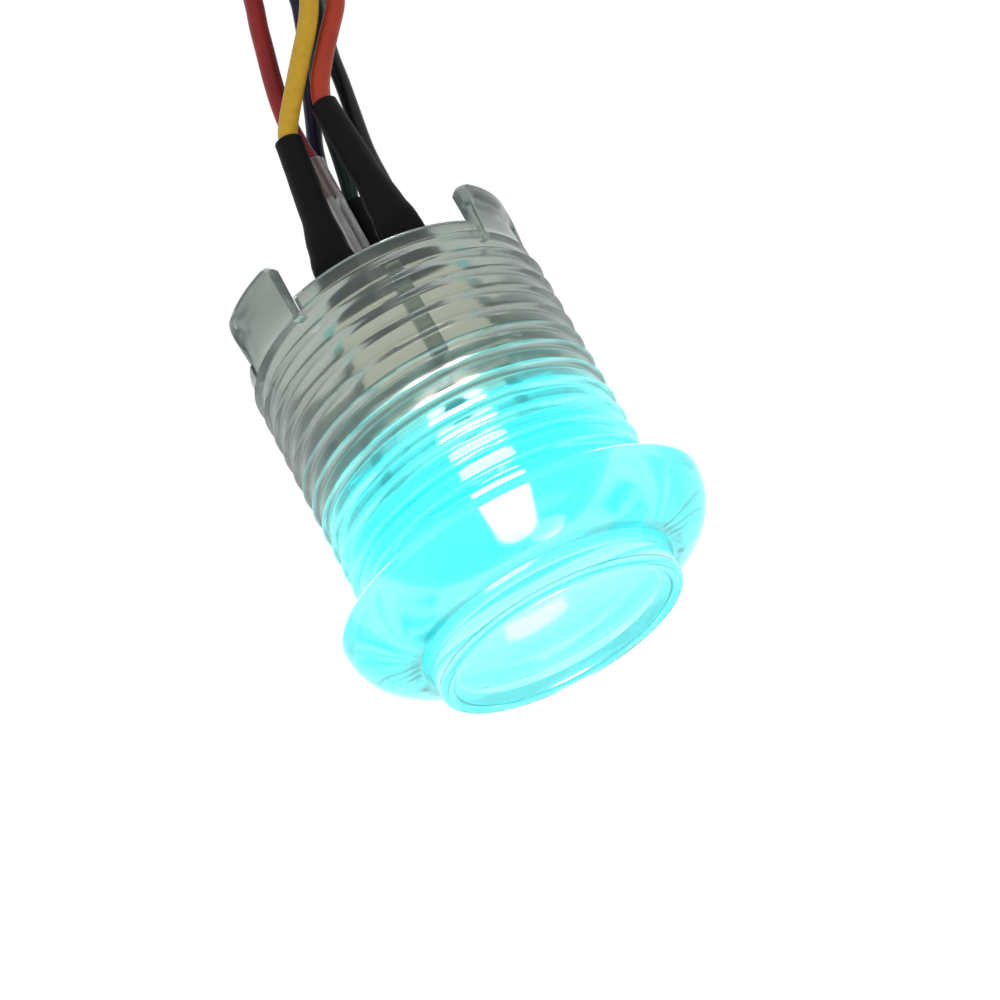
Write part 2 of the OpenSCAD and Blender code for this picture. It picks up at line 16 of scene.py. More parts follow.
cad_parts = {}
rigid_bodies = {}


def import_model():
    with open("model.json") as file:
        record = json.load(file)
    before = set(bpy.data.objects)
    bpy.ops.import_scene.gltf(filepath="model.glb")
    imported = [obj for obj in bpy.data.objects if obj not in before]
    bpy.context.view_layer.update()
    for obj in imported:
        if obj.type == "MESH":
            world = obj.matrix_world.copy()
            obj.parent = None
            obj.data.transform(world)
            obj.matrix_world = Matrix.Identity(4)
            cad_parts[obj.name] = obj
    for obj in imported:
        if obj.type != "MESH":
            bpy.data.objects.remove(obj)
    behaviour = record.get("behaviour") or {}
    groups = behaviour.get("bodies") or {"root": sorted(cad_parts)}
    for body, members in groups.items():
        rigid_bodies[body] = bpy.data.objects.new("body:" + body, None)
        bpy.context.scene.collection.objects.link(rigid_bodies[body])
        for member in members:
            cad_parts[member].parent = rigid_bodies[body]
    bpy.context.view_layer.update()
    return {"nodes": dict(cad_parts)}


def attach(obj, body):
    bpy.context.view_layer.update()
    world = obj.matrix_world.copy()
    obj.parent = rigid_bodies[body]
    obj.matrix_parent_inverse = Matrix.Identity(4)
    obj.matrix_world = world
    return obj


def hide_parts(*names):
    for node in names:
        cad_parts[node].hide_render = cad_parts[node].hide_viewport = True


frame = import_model()

# %% [markdown]
# ## Units and sizes
# The frame is in metres, but a button is thought of in millimetres. All sizes below are in
# millimetres, in the same frame as the CAD: the panel's front lies on z = 0, the finger
# comes from +Z, and the leads hang towards -Z. `MM` turns them into metres at the last step.

# %% Sizes that several pieces share
MM = 0.001
AXIS_R = 0.001  # as near to the axis as a turned outline goes
CREST_R, ROOT_R, BORE_R = 13.9, 13.4, 12.25
NECK_R, LIP_R, PLUNGER_R = 11.6, 12.0, 11.35
BEZEL_R, BEZEL_H, DOME_R = 16.9, 5.1, 4.9
LAND_L, BARREL_L, LIP_Z = 1.4, 26.7, 5.4
THREAD_PITCH, THREAD_DEPTH = 2.0, 0.5
SWITCH_X, SWITCH_Y, LAMP_Y = -1.4, -4.0, 1.6
CARRIER_Z, CARRIER_BACK = -13.6, -15.2
print("bezel", 2 * BEZEL_R, "mm across, barrel", BARREL_L, "mm long")

# %% [markdown]
# ## The camera
# The photograph shows the button's side, from 22 degrees towards its front and about 24 cm
# away, with the camera rolled so that the front points down. A roll is easiest
# to write as a matrix: its columns are the image's right, the image's up and the way back
# to the camera. The lens follows from the bezel's width in the image.

# %% Place the camera
CAMERA_DISTANCE, CAMERA_ELEVATION = 240.0, math.radians(22.0)
ROLL_ACROSS, ROLL_ALONG = 0.482, 0.876
SENSOR_MM, FRAME_PIXELS, PIXELS_PER_RADIAN = 36.0, 1000.0, 2830.0
AIM_RIGHT, AIM_UP = -0.88, -5.49
NEAREST_M, FARTHEST_M = 0.01, 20.0


def place_camera():
    """Makes the camera at the photograph's angle and returns it."""
    back = Vector((0, -math.cos(CAMERA_ELEVATION), math.sin(CAMERA_ELEVATION)))
    level = Vector((1, 0, 0))
    upright = back.cross(level)
    place = back * CAMERA_DISTANCE
    aim = level * AIM_RIGHT + upright * AIM_UP
    look = (place - aim).normalized()
    side = (level - look * level.dot(look)).normalized()
    top = look.cross(side)
    right = -ROLL_ALONG * side + ROLL_ACROSS * top
    up = -ROLL_ACROSS * side - ROLL_ALONG * top
    data = bpy.data.cameras.new("photo_camera")
    data.sensor_width = SENSOR_MM
    data.lens = SENSOR_MM * PIXELS_PER_RADIAN / FRAME_PIXELS
    data.clip_start, data.clip_end = NEAREST_M, FARTHEST_M
    camera = bpy.data.objects.new("photo_camera", data)
    bpy.context.scene.collection.objects.link(camera)
    axes = Matrix((right, up, look)).transposed().to_4x4()
    camera.matrix_world = Matrix.Translation(place * MM) @ axes
    bpy.context.scene.camera = camera
    return camera


camera = place_camera()
print("lens", round(camera.data.lens, 1), "mm on a", SENSOR_MM, "mm sensor")

# %% [markdown]
# ## Mesh helpers
# Almost every piece here was turned or moulded round an axis. So the main helper takes
# columns: one closed outline of points for each angle. Where all the columns have the same
# outline, that is a plain turned part. Where they differ, it can hold ears, slits and a
# thread, with no boolean to clean up after.

# %% Make and shade a piece
SHARP_ANGLE = math.radians(38)
SAME_POINT, TOO_SHORT = 0.002, 0.001


def raw_object(name, part):
    """A plain object from points in millimetres and faces."""
    points, faces = part
    mesh = bpy.data.meshes.new(name)
    mesh.from_pydata([Vector(p) * MM for p in points], [], faces)
    made = bpy.data.objects.new(name, mesh)
    bpy.context.scene.collection.objects.link(made)
    return made


def shade_smooth(work):
    """Smooth faces all over, with a hard line where two faces meet at a sharp angle."""
    for face in work.faces:
        face.smooth = True
    for edge in work.edges:
        if len(edge.link_faces) == 2:
            edge.smooth = edge.calc_face_angle(0.0) < SHARP_ANGLE


def new_piece(name, points, faces, body, stands_for, slot):
    """Makes a smooth-shaded piece that stands for CAD nodes, on a body. The slot is not used."""
    piece = raw_object(name, (points, faces))
    work = bmesh.new()
    work.from_mesh(piece.data)
    bmesh.ops.remove_doubles(work, verts=work.verts, dist=SAME_POINT * MM)
    bmesh.ops.dissolve_degenerate(work, edges=work.edges, dist=TOO_SHORT * MM)
    bmesh.ops.recalc_face_normals(work, faces=work.faces)
    shade_smooth(work)
    work.to_mesh(piece.data)
    work.free()
    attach(piece, body)
    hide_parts(*stands_for)
    return piece


print("edges sharper than", round(math.degrees(SHARP_ANGLE)), "degrees stay hard")

# %% [markdown]
# A turned part is the same outline at every angle. A rounded box serves for bars and ribs.

# %% Build points and faces
def column_shell(columns, angles):
    """Points and faces of a closed shell through one closed (r, z) outline per angle."""
    points, faces = [], []
    rows, turns = len(columns[0]), len(columns)
    for outline, angle in zip(columns, angles):
        points += [(r * math.cos(angle), r * math.sin(angle), z) for r, z in outline]
    for i in range(turns):
        here, there = i * rows, (i + 1) % turns * rows
        for j in range(rows):
            k = (j + 1) % rows
            faces.append((here + j, there + j, there + k, here + k))
    return points, faces


def turned(outline, steps):
    """Points and faces of a closed (r, z) outline, turned about Z in so many steps."""
    angles = [2 * math.pi * i / steps for i in range(steps)]
    return column_shell([outline] * steps, angles)


def arc(cx, cz, r, start, end, steps):
    """Points on an arc from one angle to another, in degrees."""
    spread = [math.radians(start + (end - start) * i / steps) for i in range(steps + 1)]
    return [(cx + r * math.cos(a), cz + r * math.sin(a)) for a in spread]


def lerp(a, b, t):
    """The value a share t of the way from a to b."""
    return a + (b - a) * t


def ease(low, high, x):
    """0 below low, 1 above high, and a smooth step between."""
    t = min(max((x - low) / (high - low), 0.0), 1.0)
    return t * t * (3 - 2 * t)


def joined(*parts):
    """Puts several (points, faces) pairs into one."""
    points, faces = [], []
    for more_points, more_faces in parts:
        start = len(points)
        points += list(more_points)
        faces += [tuple(start + i for i in face) for face in more_faces]
    return points, faces


def block(low, high, round_by):
    """A box between two corners, rounded where asked, as points and faces."""
    work = bmesh.new()
    bmesh.ops.create_cube(work, size=1.0)
    for vert in work.verts:
        vert.co = Vector([lerp(low[i], high[i], vert.co[i] + 0.5) for i in range(3)])
    if round_by:
        bmesh.ops.bevel(work, geom=work.edges[:], offset=round_by, segments=3, profile=0.6,
                        affect="EDGES")
    work.verts.ensure_lookup_table()
    points = [tuple(vert.co) for vert in work.verts]
    faces = [tuple(vert.index for vert in face.verts) for face in work.faces]
    work.free()
    return points, faces


print("helpers: column_shell, turned, arc, joined, block")

# %% [markdown]
# ## Shader helpers
# A finish is easier to read as a formula than as a web of nodes. `Value` wraps the socket
# of a number, and Python's operators add the Math nodes. `NodeTree` makes any other node by
# its one method `node`: settings first, then sockets. `Finish` is the tree of a material,
# with short names for what most finishes need: noise, a mix of colours, a bump, a surface.

# %% Value
class Value:
    """A shader socket that can be added, multiplied and so on, as a number can."""

    def __init__(self, owner, socket):
        self.owner, self.socket = owner, socket

    def _math(self, operation, first, second):
        return self.owner.node("Math", {"operation": operation}, {0: first, 1: second})

    def __add__(self, other):
        return self._math("ADD", self, other)

    def __radd__(self, other):
        return self._math("ADD", other, self)

    def __sub__(self, other):
        return self._math("SUBTRACT", self, other)

    def __rsub__(self, other):
        return self._math("SUBTRACT", other, self)

    def __mul__(self, other):
        return self._math("MULTIPLY", self, other)

    def __rmul__(self, other):
        return self._math("MULTIPLY", other, self)

    def __truediv__(self, other):
        return self._math("DIVIDE", self, other)

    def __pow__(self, other):
        return self._math("POWER", self, other)

    def clamp(self):
        """The value kept between 0 and 1."""
        return self._math("MINIMUM", self._math("MAXIMUM", self, 0.0), 1.0)

    def step(self, low, high):
        """0 below low, 1 above high, smooth between; low may be the larger one."""
        settings = {"interpolation_type": "SMOOTHSTEP"}
        inputs = {"Value": self, "From Min": low, "From Max": high}
        return self.owner.node("MapRange", settings, inputs)

    def out(self, name):
        """Another output of the node that this value comes from."""
        return Value(self.owner, self.socket.node.outputs[name])


print("numbers in a shader: + - * / **, clamp, step, out")

# %% NodeTree and Finish
class NodeTree:
    """The nodes of a material or a world, all made by one method."""

    def __init__(self, tree):
        self.tree = tree
        tree.nodes.clear()

    def node(self, kind, settings, inputs, output=0):
        """Adds a shader node and returns one of its outputs as a Value."""
        made = self.tree.nodes.new("ShaderNode" + kind)
        for key, value in settings.items():
            setattr(made, key, value)
        for key, value in inputs.items():
            if isinstance(value, Value):
                self.tree.links.new(value.socket, made.inputs[key])
            else:
                made.inputs[key].default_value = value
        return Value(self, made.outputs[output] if len(made.outputs) else None)


class Finish(NodeTree):
    """One material. Its x, y and z are the place on the part, in millimetres."""

    def __init__(self, name):
        self.material = bpy.data.materials.new(name)
        self.material.use_nodes = True
        super().__init__(self.material.node_tree)
        self.place = self.node("TexCoord", {}, {}).out("Object")
        split = self.node("SeparateXYZ", {}, {"Vector": self.place})
        self.x, self.y, self.z = (split.out(axis) * (1 / MM) for axis in "XYZ")

    def grain(self, scale, detail=3.0, stretch=None):
        """Noise from 0 to 1, at so many bumps per metre, stretched where asked."""
        place = self.place
        if stretch:
            place = self.node("Mapping", {}, {"Vector": place, "Scale": stretch})
        inputs = {"Vector": place, "Scale": scale, "Detail": detail, "Roughness": 0.55}
        return self.node("TexNoise", {}, inputs)

    def mix(self, amount, low, high):
        """A colour between two: the node's inputs 6 and 7, and its output 2, are colours."""
        inputs = {0: amount, 6: low, 7: high}
        return self.node("Mix", {"data_type": "RGBA"}, inputs, output=2)

    def bump(self, height, depth_mm, strength=1.0):
        """A normal that a height from 0 to 1 gives, that many millimetres deep."""
        inputs = {"Height": height, "Distance": depth_mm * MM, "Strength": strength}
        return self.node("Bump", {}, inputs)

    def surface(self, **sockets):
        """The Principled surface, with each named socket set or linked."""
        inputs = {}
        for name, value in sockets.items():
            inputs[name.replace("_", " ").title().replace("Ior", "IOR")] = value
        shader = self.node("BsdfPrincipled", {}, inputs)
        self.node("OutputMaterial", {}, {"Surface": shader})
        return self.material


def rgb(r, g, b):
    """A colour for a socket, fully opaque."""
    return (r, g, b, 1.0)


def dress(piece, material):
    """Gives a piece one finish all over."""
    piece.data.materials.clear()
    piece.data.materials.append(material)


print("shader helpers: NodeTree, Finish")

# %% [markdown]
# ## The leads
# Six leads leave the open rear of the barrel: two thick ones to the switch, and four to the
# lamp. Their routes are those of the CAD solids, point by point. The photograph shows the
# first 3 cm behind the barrel. The rest hangs straight down to two plugs. A lead needs no
# more than a smooth curve through its points and a round section along it.

# %% Routes of the leads
THICK, THIN = 1.8, 1.5
PLUG_FRONT, PLUG_X, PLUG_PITCH, PLUG_GRIP = -118.0, -4.5, 2.5, 3.0
LAMP_PLUG_Y, SWITCH_PLUG_Y = 1.5, -5.5
# each sleeve's straight axis, from its inner end to its mouth
TAILS = {
    "yellow": ((1.9, -4, -31.6), (0.2, -3.7, -45)),
    "orange": ((-4.7, -4, -31.6), (-4.2, -3.2, -46.9)),
    "red": ((-0.5, 1.5, -19), (-0.6, 0.3, -44.3)),
    "blue": ((1.7, 3.3, -19), (0.2, 3.5, -38)),
    "green": ((-2, 3.6, -19), (-2.2, 2.8, -40)),
    "black": ((-4.2, 2.5, -19), (-5.5, 2.6, -37.5)),
}
# the points from each sleeve's mouth to its plug
ROUTES = {
    "yellow": [
        (-0.6, -3.8, -46.7), (-1.8, -3.8, -48.5), (-3.3, -3.8, -50.6), (-4.8, -3.9, -52.6),
        (-6.3, -4, -54.6), (-7.6, -4.1, -56.8), (-8.6, -4.3, -59.6), (-9.2, -4.7, -63.5),
        (-9.2, -5.1, -69), (-8.6, -5.4, -77), (-7.4, -5.5, -87), (-5.6, -5.5, -99),
        (-4.1, -5.5, -109),
    ],
    "orange": [
        (-4.5, -3.1, -48.4), (-5.2, -3, -49.9), (-6.6, -2.8, -52.1), (-8.2, -2.6, -54.3),
        (-9.7, -2.5, -56.4), (-10.7, -2.5, -59), (-11.4, -2.6, -62.5), (-11.6, -2.9, -67.5),
        (-11.3, -3.4, -75), (-10.3, -4.2, -85), (-8.6, -5.1, -97), (-6.9, -5.5, -109),
    ],
    "red": [
        (-0.5, 0.2, -46.1), (-0.5, 0, -48.8), (-0.8, -0.1, -51.5), (-1.3, -0.2, -54.2),
        (-1.9, -0.2, -56.9), (-2.5, -0.1, -59.7), (-3.2, 0, -62.4), (-3.8, 0.2, -66),
        (-4.1, 0.5, -71), (-3.9, 0.9, -78), (-3.1, 1.3, -88), (-2, 1.5, -100), (-1.1, 1.5, -110),
    ],
    "blue": [
        (-0.1, 3.4, -40.1), (-0.7, 3.2, -43.1), (-1.6, 3, -46.9), (-2.5, 2.8, -49.2),
        (-3.4, 2.6, -51.6), (-4.3, 2.3, -53.9), (-5.3, 2, -56.2), (-6.2, 1.8, -58.8),
        (-7, 1.7, -62), (-7.3, 1.6, -67), (-7, 1.5, -75), (-6, 1.5, -86), (-4.7, 1.5, -98),
        (-3.7, 1.5, -109),
    ],
    "green": [
        (-2.7, 2.4, -41.9), (-3.3, 1.6, -44.8), (-3.7, 0.9, -47.2), (-4.2, 0.3, -49.5),
        (-5, -0.1, -51.9), (-6.1, -0.4, -54.1), (-7.4, -0.5, -56.5), (-8.3, -0.5, -59),
        (-8.8, -0.4, -63), (-9, 0, -69), (-8.7, 0.5, -77), (-7.9, 1, -87), (-6.9, 1.4, -98),
        (-6.1, 1.5, -109),
    ],
    "black": [
        (-5.6, 2.6, -39.8), (-5.7, 2.6, -44), (-6.3, 2.6, -48.4), (-6.8, 2.7, -51.9),
        (-7.2, 2.8, -55.2), (-7.9, 3.2, -58.2), (-8.6, 3.4, -61.4), (-9.5, 3.2, -66),
        (-10.2, 2.9, -72), (-10.4, 2.5, -80), (-10, 2, -90), (-9.2, 1.6, -101), (-8.6, 1.5, -110),
    ],
}
print(len(ROUTES), "routes")

# %% [markdown]
# A lead starts a little inside its sleeve and ends inside its way of the plug. Each piece
# of the curve is a cubic through two points, which takes its slope from their neighbours.

# %% From a route to a smooth path
LEAD_DIAMETER = {
    "yellow": THICK, "orange": THICK, "red": THICK, "blue": THIN, "green": THIN, "black": THIN,
}
# each lead's way in its plug, and how many ways that plug has
PLUG_WAY = {
    "orange": (0, 2), "yellow": (1, 2),
    "black": (0, 4), "green": (1, 4), "blue": (2, 4), "red": (3, 4),
}
INSULATION_IN, STRAIGHT_IN, FIT_GAP = 4.0, 1.0, 0.05


def way_x(way, ways):
    """Where across its plug a way lies."""
    return PLUG_X + (way - (ways - 1) / 2) * PLUG_PITCH


def lead_points(name):
    """The lead's own points, from inside its sleeve to inside its plug."""
    start, mouth = (Vector(p) for p in TAILS[name])
    way, ways = PLUG_WAY[name]
    x, y = way_x(way, ways), SWITCH_PLUG_Y if ways == 2 else LAMP_PLUG_Y
    first = mouth + (start - mouth).normalized() * INSULATION_IN
    before = Vector((x, y, PLUG_FRONT + STRAIGHT_IN))
    last = Vector((x, y, PLUG_FRONT - PLUG_GRIP + FIT_GAP))
    return [first, mouth] + [Vector(p) for p in ROUTES[name]] + [before, last]


def smooth_path(points, steps=5):
    """Points on a curve that passes through all the given ones."""
    ends = [points[0] * 2 - points[1]] + points + [points[-1] * 2 - points[-2]]
    path = []
    for a, b, c, d in zip(ends, ends[1:], ends[2:], ends[3:]):
        for i in range(steps):
            t = i / steps
            bend = (2 * a - 5 * b + 4 * c - d) * t**2 + (3 * b - a - 3 * c + d) * t**3
            path.append(0.5 * (2 * b + (c - a) * t + bend))
    return path + [points[-1]]


def path_length(path):
    """The sum of a path's steps."""
    return sum((b - a).length for a, b in zip(path, path[1:]))


lead_paths = {name: smooth_path(lead_points(name)) for name in ROUTES}
for name, path in lead_paths.items():
    print(name, "lead:", round(path_length(path), 1), "mm")

# %% [markdown]
# Each lead becomes a tube: rings of points, set square to the route one after another. The
# first ring's direction is carried along the route, so the tube doesn't twist.

# %% Build the leads
LEAD_SIDES = 24


def tube(path, radius, sides):
    """Points and faces of a closed round tube along a path."""
    points, faces, across = [], [], Vector((1, 0, 0))
    for i, centre in enumerate(path):
        along = (path[min(i + 1, len(path) - 1)] - path[max(i - 1, 0)]).normalized()
        across = (across - along * across.dot(along)).normalized()
        over = along.cross(across)
        for j in range(sides):
            turn = 2 * math.pi * j / sides
            points.append(centre + (across * math.cos(turn) + over * math.sin(turn)) * radius)
    for i in range(len(path) - 1):
        here, there = i * sides, (i + 1) * sides
        for j in range(sides):
            k = (j + 1) % sides
            faces.append((here + j, here + k, there + k, there + j))
    last = (len(path) - 1) * sides
    faces += [tuple(range(sides))[::-1], tuple(range(last, last + sides))]
    return points, faces


def build_lead(name):
    """One lead, which rides on the housing in place of its CAD wire."""
    points, faces = tube(lead_paths[name], LEAD_DIAMETER[name] / 2, LEAD_SIDES)
    return new_piece(name + "_lead", points, faces, "housing",
                     stands_for=[name + "_wire"], slot="wire_" + name)


leads = {name: build_lead(name) for name in ROUTES}
print(len(leads), "leads")

# %% [markdown]
# ## The barrel
# Bezel, thread, tube and ears are one clear moulding. Its outline is the same at every
# angle but for two things: the thread climbs by one pitch in each turn, and below the rim
# there are ears, slits and plain rim. So each angle gets its own outline, with the same
# number of points. The thread is a true right-hand helix here, where the CAD has rings.

# %% Thread
RIM_Z = -BARREL_L
THREAD_TOP, THREAD_END = -LAND_L, RIM_Z + 1.0
THREAD_FADE, LAND_NEAR, LAND_FAR = 1.2, 0.2, 0.9
HELIX_START, RIDGE_POWER = -0.2, 3.5  # a higher power makes narrower crests


def thread_radius(z, angle):
    """Outer radius of the barrel at a height and an angle, on the thread."""
    phase = (z - HELIX_START) / THREAD_PITCH - angle / (2 * math.pi)
    ridge = (0.5 + 0.5 * math.cos(2 * math.pi * phase)) ** RIDGE_POWER
    fade = ease(THREAD_END, THREAD_END + THREAD_FADE, z)
    full = ease(THREAD_TOP - LAND_FAR, THREAD_TOP - LAND_NEAR, z)
    return ROOT_R + THREAD_DEPTH * max(ridge * fade, full)


print("thread:", round((THREAD_TOP - THREAD_END) / THREAD_PITCH, 1), "turns")

# %% [markdown]
# Behind the rim stand three ears with a slit on each side. They are soft tongues on the
# real button, with a small bead outside near the tip. A slit is made by pulling the rows
# below its end up to that end, so the shell stays closed there.

# %% Ears, slits and rim
EAR_COUNT, EAR_STEP = 3, 120
EAR_TURN, EAR_HALF, EAR_H = 78.5, 17.5, 4.1
SLIT_L, SLIT_ANGLE = 2.3, 3.42
SLIT_Z = RIM_Z + SLIT_L
SKIRT_ROWS, TIP_ROWS = 12, 5
EAR_CORNER_TURN, EAR_CORNER_DROP = 3.4, 0.55
EAR_BEAD, BEAD_TOP, BEAD_LOW = 0.4, 2.9, 1.3
EAR_EDGE, RIM_EDGE, INNER_EDGE = 0.45, 0.3, 0.15


def ear_share(angle):
    """'ear', 'slit' or 'rim', with how far the angle is from the ear's middle."""
    turn = (math.degrees(angle) - EAR_TURN + EAR_STEP / 2) % EAR_STEP - EAR_STEP / 2
    if abs(turn) < EAR_HALF:
        return "ear", turn
    if abs(turn) < EAR_HALF + SLIT_ANGLE:
        return "slit", turn
    return "rim", turn


def skirt_rows(angle):
    """The rows below the slits' ends, on ear, slit or rim: down outside, up inside."""
    kind, turn = ear_share(angle)
    shares = [i / (TIP_ROWS + 1) for i in range(1, TIP_ROWS + 1)]
    if kind == "slit":
        across = [(lerp(ROOT_R, BORE_R, share), SLIT_Z) for share in shares]
        return [(ROOT_R, SLIT_Z)] * SKIRT_ROWS + across + [(BORE_R, SLIT_Z)] * SKIRT_ROWS
    if kind == "rim":
        tip, edge, swell = RIM_Z, RIM_EDGE, 0.0
    else:
        corner = ease(EAR_HALF - EAR_CORNER_TURN, EAR_HALF, abs(turn))
        tip, edge, swell = RIM_Z - EAR_H + EAR_CORNER_DROP * corner**2, EAR_EDGE, EAR_BEAD
    outside, inside = [], []
    for i in range(1, SKIRT_ROWS + 1):
        z = lerp(SLIT_Z, tip + edge, i / SKIRT_ROWS)
        bead = swell * ease(tip + BEAD_TOP, tip + BEAD_LOW, z) if swell else 0.0
        outside.append((thread_radius(z, angle) + bead if z > THREAD_END else ROOT_R + bead, z))
        inside.append((BORE_R, lerp(SLIT_Z, tip + INNER_EDGE, 1 - (i - 1) / SKIRT_ROWS)))
    outer, around = outside[-1][0], []
    for share in shares:
        r = lerp(outer, BORE_R + INNER_EDGE, share) - 0.1 * (1 - share)
        around.append((r, tip + edge * (1 - share) ** 2.5 * 0.8))
    return outside + around + inside


print("ears:", EAR_H, "mm behind the rim,", 2 * EAR_HALF, "degrees wide")

# %% [markdown]
# Now the whole outline at one angle: up the neck, over the dome, along the bezel's back and
# the land, down the thread to the skirt, and back up the bore. The angles are even, with a
# close pair added at each edge of an ear and of a slit, so that those edges are sharp.

# %% Build the barrel
THREAD_ROWS, EVEN_TURNS, EDGE_NUDGE = 192, 252, 0.02
NECK_ROUND, BACK_EDGE, LAND_EDGE = 0.35, 0.3, 0.08
RIB_H, RIB_HALF_W, RIB_INSET, RIB_SUNK = 1.2, 0.65, 2.2, 0.3


def barrel_outline(angle):
    """One closed outline of the barrel, from the neck over the dome and down to the rim."""
    line = [(NECK_R, -LIP_Z), (NECK_R, -2.0), (NECK_R, 2.0)]
    line += arc(NECK_R + NECK_ROUND, BEZEL_H - NECK_ROUND, NECK_ROUND, 180, 90, 6)
    line += arc(BEZEL_R - DOME_R, BEZEL_H - DOME_R, DOME_R, 90, 0, 26)
    line += [(BEZEL_R, BACK_EDGE), (BEZEL_R - 0.1, 0.1), (BEZEL_R - BACK_EDGE, 0)]
    line += [(15.5, 0), (14.4, 0), (CREST_R + LAND_EDGE, 0), (CREST_R, -LAND_EDGE)]
    for i in range(THREAD_ROWS + 1):
        z = lerp(-0.3, SLIT_Z, i / THREAD_ROWS)
        line.append((thread_radius(z, angle), z))
    line += skirt_rows(angle)
    line += [(BORE_R, lerp(SLIT_Z, -LIP_Z - 0.2, i / 8)) for i in range(9)]
    return line + [(BORE_R - 0.1, -LIP_Z)]


def barrel_angles():
    """Even angles, plus a close pair at each edge of an ear and of a slit."""
    angles = [360 * i / EVEN_TURNS for i in range(EVEN_TURNS)]
    for k in range(EAR_COUNT):
        middle = EAR_TURN + EAR_STEP * k
        for side in (-1, 1):
            for edge in (EAR_HALF, EAR_HALF + SLIT_ANGLE):
                for nudge in (-EDGE_NUDGE, EDGE_NUDGE):
                    angles.append((middle + side * edge + nudge) % 360)
    angles = sorted(angles)
    kept = [a for a, b in zip(angles, angles[1:] + [angles[0] + 360]) if b - a > 0.01]
    return [math.radians(a) for a in kept]


def rib(k):
    """One short rib on the bore, which the carrier twists in behind."""
    low = (BORE_R - RIB_H, -RIB_HALF_W, RIM_Z + RIB_INSET)
    high = (BORE_R + RIB_SUNK, RIB_HALF_W, CARRIER_BACK)
    points, faces = block(low, high, 0.15)
    turn = Matrix.Rotation(math.radians(EAR_TURN + EAR_STEP * (k + 0.5)), 3, "Z")
    return [tuple(turn @ Vector(p)) for p in points], faces


angles = barrel_angles()
shell = column_shell([barrel_outline(a) for a in angles], angles)
ribs = [rib(k) for k in range(EAR_COUNT)]
barrel = new_piece("clear_barrel", *joined(shell, *ribs), "housing",
                   stands_for=["barrel"], slot="clear_body")
print("barrel:", len(barrel.data.polygons), "faces")

# %% [markdown]
# ## The plunger
# The plunger is turned too: a dish for the finger, a raised rim, a long skirt and a lip that
# keeps it in. A flat bar crosses the skirt's end and presses the switch. The rim carries two
# fine steps, which the photograph shows as fine rings.

# %% Build the plunger
PLUNGER_TOP, DISH_R, DISH_SAG, DISH_EDGE = 8.1, 10.15, 0.7, 0.3
SKIRT_BACK, SKIRT_INNER, CAP_UNDER = -6.9, 10.05, 5.5
RIM_ROUND, CAP_ROUND, LIP_CHAMFER = 0.45, 0.6, 0.4
BAR_HALF_L, BAR_HALF_W, BAR_BACK, BAR_IN = 9.7, 0.6, -12.05, 3


def dish_arc():
    """The dish, from its middle to its edge: a shallow part of a large ball."""
    ball = (DISH_R**2 + DISH_SAG**2) / (2 * DISH_SAG)
    middle = PLUNGER_TOP - DISH_EDGE - DISH_SAG + ball
    half = math.degrees(math.asin(DISH_R / ball))
    return arc(0, middle, ball, 270, 270 + half, 20)


def plunger_outline():
    """The closed outline: under the cap, over the dish and rim, down the skirt, up inside."""
    dish = dish_arc()
    line = [(AXIS_R, CAP_UNDER), (AXIS_R, dish[0][1])] + dish[1:]
    line += [(10.25, 7.85), (10.35, 7.98), (10.45, 8.02), (10.75, 8.1)]
    line += arc(PLUNGER_R - RIM_ROUND, PLUNGER_TOP - RIM_ROUND, RIM_ROUND, 80, 0, 8)
    line += [(PLUNGER_R, 6.4), (PLUNGER_R - 0.02, 2.0), (PLUNGER_R, -LIP_Z)]
    line += [(LIP_R - 0.05, -LIP_Z), (LIP_R, -LIP_Z - 0.05), (LIP_R, SKIRT_BACK + LIP_CHAMFER)]
    line += [(LIP_R - LIP_CHAMFER, SKIRT_BACK)]
    line += [(SKIRT_INNER + 0.1, SKIRT_BACK), (SKIRT_INNER, SKIRT_BACK + 0.1)]
    line += [(SKIRT_INNER, -2.0), (SKIRT_INNER, 2.0), (SKIRT_INNER, CAP_UNDER - CAP_ROUND)]
    return line + arc(SKIRT_INNER - CAP_ROUND, CAP_UNDER - CAP_ROUND, CAP_ROUND, 0, 90, 6)


bar = block((-BAR_HALF_L, SWITCH_Y - BAR_HALF_W, BAR_BACK),
            (BAR_HALF_L, SWITCH_Y + BAR_HALF_W, SKIRT_BACK + BAR_IN), 0.1)
plunger = new_piece("clear_plunger", *joined(turned(plunger_outline(), 216), bar), "plunger",
                    stands_for=["plunger"], slot="clear_plunger")
print("plunger:", len(plunger.data.polygons), "faces")

# %% [markdown]
# ## The shrunk sleeves
# Heat-shrink tube grips what is inside it. Over a crimped receptacle it is flat and wide,
# then it swells over the crimp and thins to the round of the lead. So each sleeve is lofted
# from rings: a wide flat ring, a fuller one, and round ones to the mouth, where the wall
# turns in. Small dents keep it from looking turned on a lathe.

# %% Rings and paths of the sleeves
SLEEVE_STEPS, SLEEVE_SIDES = 40, 40
SLEEVE_WALL, SLEEVE_DENT, LIP_OUT = 0.3, 0.05, 0.02


def ring(centre, along, wide, thick, seed, dent):
    """Points round a centre, wide across X and thick across Y, with small dents."""
    across = Vector((1, 0, 0))
    across = (across - along * across.dot(along)).normalized()
    over = along.cross(across)
    power = 2.0 + 3.0 * ease(1.1, 2.0, wide / thick)
    points = []
    for i in range(SLEEVE_SIDES):
        a = 2 * math.pi * i / SLEEVE_SIDES
        c, s = math.cos(a), math.sin(a)
        grow = (abs(c) ** power + abs(s) ** power) ** (-1 / power)
        place = centre + across * (c * grow * wide / 2) + over * (s * grow * thick / 2)
        wave = noise.noise(Vector((place.x * 0.8 + seed, place.y * 0.8, place.z * 0.45)))
        points.append(place + (place - centre).normalized() * dent * (wave - 0.35))
    return points


